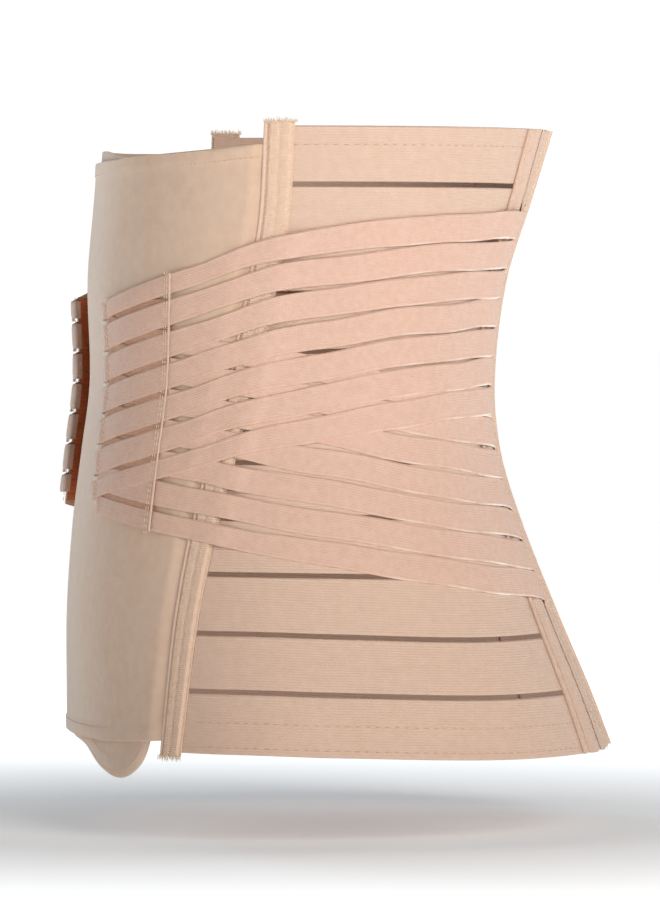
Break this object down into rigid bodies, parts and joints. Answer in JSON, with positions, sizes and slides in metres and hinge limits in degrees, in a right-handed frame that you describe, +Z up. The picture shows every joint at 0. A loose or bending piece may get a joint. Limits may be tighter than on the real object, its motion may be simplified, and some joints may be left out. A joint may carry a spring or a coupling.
{
  "type": "back brace",
  "caption": "Wrap-round elastic lumbosacral brace in its worn shape, with banded sides, overlapping front flaps, strip fans and hook tabs.",
  "frame": {"origin": "centre of the waist section that the brace is worn round, where it is narrowest", "axes": "+Z up the wearer's body, -Y to the wearer's front, +X to the wearer's left"},
  "size_m": [0.3432, 0.2626, 0.303],
  "materials": {
    "elastic_webbing": "ribbed elastic webbing",
    "tension_elastic": "fine mesh elastic, pinkish beige",
    "front_velour": "brushed loop laminate",
    "seam_tape": "woven cotton tape",
    "edge_binding": "folded binding tape",
    "hook_tape": "moulded hook fastener, orange brown",
    "stay_steel": "flat spring steel"
  },
  "bodies": {
    "back": {"back_panel": "elastic_webbing", "left_back_stay": "stay_steel", "right_back_stay": "stay_steel", "left_stay_cover": "seam_tape", "right_stay_cover": "seam_tape"},
    "left_side": {"left_band_01": "elastic_webbing", "left_band_02": "elastic_webbing", "left_band_03": "elastic_webbing", "left_band_04": "elastic_webbing", "left_band_05": "elastic_webbing", "left_band_06": "elastic_webbing", "left_band_07": "elastic_webbing", "left_band_08": "elastic_webbing", "left_band_09": "elastic_webbing", "left_band_10": "elastic_webbing", "left_band_11": "elastic_webbing", "left_rear_side_panel": "elastic_webbing", "left_rear_stay": "stay_steel", "left_rear_tape": "seam_tape", "left_side_stay": "stay_steel", "left_side_tape": "seam_tape", "left_lower_strips_side": "tension_elastic", "left_upper_strips_side": "tension_elastic"},
    "right_side": {"right_band_01": "elastic_webbing", "right_band_02": "elastic_webbing", "right_band_03": "elastic_webbing", "right_band_04": "elastic_webbing", "right_band_05": "elastic_webbing", "right_band_06": "elastic_webbing", "right_band_07": "elastic_webbing", "right_band_08": "elastic_webbing", "right_band_09": "elastic_webbing", "right_band_10": "elastic_webbing", "right_band_11": "elastic_webbing", "right_rear_side_panel": "elastic_webbing", "right_rear_stay": "stay_steel", "right_rear_tape": "seam_tape", "right_side_stay": "stay_steel", "right_side_tape": "seam_tape", "right_lower_strips_side": "tension_elastic", "right_upper_strips_side": "tension_elastic"},
    "left_front": {"left_front_panel": "front_velour", "left_edge_binding": "edge_binding", "left_closure_hooks": "hook_tape", "left_lower_strips_front": "tension_elastic", "left_upper_strips_front": "tension_elastic"},
    "right_front": {"right_front_panel": "front_velour", "right_lower_strips_front": "tension_elastic", "right_upper_strips_front": "tension_elastic"},
    "left_tab": {"left_tab_hooks": "hook_tape", "left_tab_lower_strips": "tension_elastic", "left_tab_upper_strips": "tension_elastic"},
    "right_tab": {"right_tab_hooks": "hook_tape", "right_tab_lower_strips": "tension_elastic", "right_tab_upper_strips": "tension_elastic"}
  },
  "joints": [
    {"name": "left_side_swing", "type": "hinge", "parent": "back", "child": "left_side", "pos_m": [0.06677, 0.13127, -0.0255], "axis": [-0.0473, -0.0852, 0.9952], "range_deg": [0, 30]},
    {"name": "left_front_open", "type": "hinge", "parent": "left_side", "child": "left_front", "pos_m": [0.13708, -0.05165, -0.0255], "axis": [0.0161, 0.1688, 0.9855], "range_deg": [0, 95]},
    {"name": "left_tab_peel", "type": "hinge", "parent": "left_front", "child": "left_tab", "pos_m": [0.10929, -0.07325, -0.0105], "axis": [-0.0097, 0.0893, 0.996], "range_deg": [0, 90]},
    {"name": "right_side_swing", "type": "hinge", "parent": "back", "child": "right_side", "pos_m": [-0.06677, 0.13127, -0.0255], "axis": [-0.0473, 0.0852, -0.9952], "range_deg": [0, 29]},
    {"name": "right_front_open", "type": "hinge", "parent": "right_side", "child": "right_front", "pos_m": [-0.13708, -0.05165, -0.0255], "axis": [0.0161, -0.1688, -0.9855], "range_deg": [0, 5.2]},
    {"name": "right_tab_peel", "type": "hinge", "parent": "right_front", "child": "right_tab", "pos_m": [-0.10929, -0.07325, -0.0105], "axis": [-0.0097, -0.0893, -0.996], "range_deg": [-9, 85]}
  ],
  "couplings": [
    {"joint": "right_side_swing", "follows": "left_front_open", "ratio": 0.3},
    {"joint": "right_front_open", "follows": "left_front_open", "ratio": 0.05}
  ]
}
